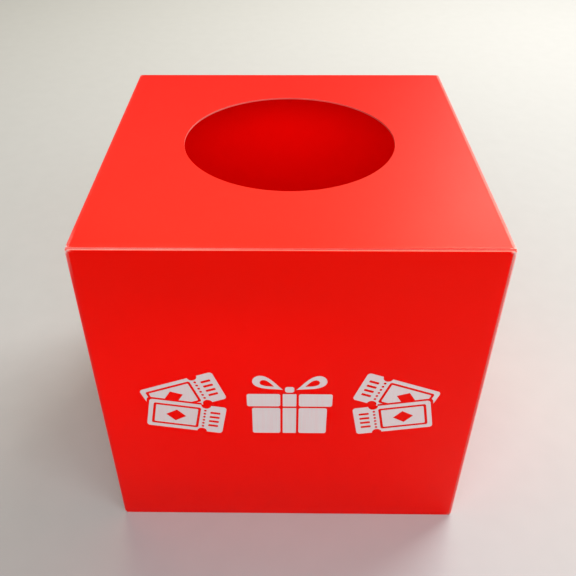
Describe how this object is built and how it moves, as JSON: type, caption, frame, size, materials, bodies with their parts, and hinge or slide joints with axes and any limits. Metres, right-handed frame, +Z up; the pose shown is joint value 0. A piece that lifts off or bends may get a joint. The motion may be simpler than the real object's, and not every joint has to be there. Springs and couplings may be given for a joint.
{
  "type": "raffle box",
  "caption": "Cubic folding raffle box of creased plastic sheet, with a nearly round hand hole in a hinged tuck-in lid and a tuck-in bottom.",
  "frame": {"origin": "middle of the bottom face, on the surface that the box stands on", "axes": "+X to the right seen from the front, +Y from the front wall to the back wall, +Z up"},
  "size_m": [0.2, 0.2, 0.2],
  "materials": {
    "red_sheet": "satin",
    "red_crease": "satin, whitened by the fold",
    "adhesive": "tacky film"
  },
  "bodies": {
    "walls": {"front_wall": "red_sheet", "back_wall": "red_sheet", "left_wall": "red_sheet", "right_wall": "red_sheet", "front_left_fold": "red_crease", "front_right_fold": "red_crease", "back_right_fold": "red_crease", "seam_fold": "red_crease", "seam_flap": "red_sheet", "seam_adhesive": "adhesive"},
    "lid": {"lid_panel": "red_sheet", "lid_hinge_fold": "red_crease"},
    "lid_tuck": {"lid_tuck_flap": "red_sheet", "lid_tuck_fold": "red_crease"},
    "top_left": {"top_left_flap": "red_sheet", "top_left_fold": "red_crease"},
    "top_right": {"top_right_flap": "red_sheet", "top_right_fold": "red_crease"},
    "bottom": {"bottom_panel": "red_sheet", "bottom_hinge_fold": "red_crease"},
    "bottom_tuck": {"bottom_tuck_flap": "red_sheet", "bottom_tuck_fold": "red_crease"},
    "bottom_left": {"bottom_left_flap": "red_sheet", "bottom_left_fold": "red_crease"},
    "bottom_right": {"bottom_right_flap": "red_sheet", "bottom_right_fold": "red_crease"}
  },
  "joints": [
    {"name": "lid_hinge", "type": "hinge", "parent": "walls", "child": "lid", "pos_m": [0, 0.0992, 0.1992], "axis": [-1, 0, 0], "range_deg": [0, 180]},
    {"name": "lid_tuck_hinge", "type": "hinge", "parent": "lid", "child": "lid_tuck", "pos_m": [0, -0.09795, 0.1992], "axis": [1, 0, 0], "range_deg": [0, 42], "stiffness_Nm_per_rad": 0.01, "springref_deg": -34.38},
    {"name": "top_left_hinge", "type": "hinge", "parent": "walls", "child": "top_left", "pos_m": [-0.0992, 0, 0.1981], "axis": [0, -1, 0], "range_deg": [0, 76]},
    {"name": "top_right_hinge", "type": "hinge", "parent": "walls", "child": "top_right", "pos_m": [0.0992, 0, 0.1981], "axis": [0, 1, 0], "range_deg": [0, 76]},
    {"name": "bottom_hinge", "type": "hinge", "parent": "walls", "child": "bottom", "pos_m": [0, 0.0992, 0.0008], "axis": [1, 0, 0], "range_deg": [0, 120]},
    {"name": "bottom_tuck_hinge", "type": "hinge", "parent": "bottom", "child": "bottom_tuck", "pos_m": [0, -0.09795, 0.0008], "axis": [-1, 0, 0], "range_deg": [0, 42], "stiffness_Nm_per_rad": 0.01, "springref_deg": -34.38},
    {"name": "bottom_left_hinge", "type": "hinge", "parent": "walls", "child": "bottom_left", "pos_m": [-0.0992, 0, 0.0019], "axis": [0, 1, 0], "range_deg": [0, 51]},
    {"name": "bottom_right_hinge", "type": "hinge", "parent": "walls", "child": "bottom_right", "pos_m": [0.0992, 0, 0.0019], "axis": [0, -1, 0], "range_deg": [0, 51]}
  ],
  "couplings": [
    {"joint": "top_left_hinge", "follows": "lid_hinge", "ratio": 0.42},
    {"joint": "top_right_hinge", "follows": "lid_hinge", "ratio": 0.42},
    {"joint": "bottom_left_hinge", "follows": "bottom_hinge", "ratio": 0.42},
    {"joint": "bottom_right_hinge", "follows": "bottom_hinge", "ratio": 0.42}
  ]
}
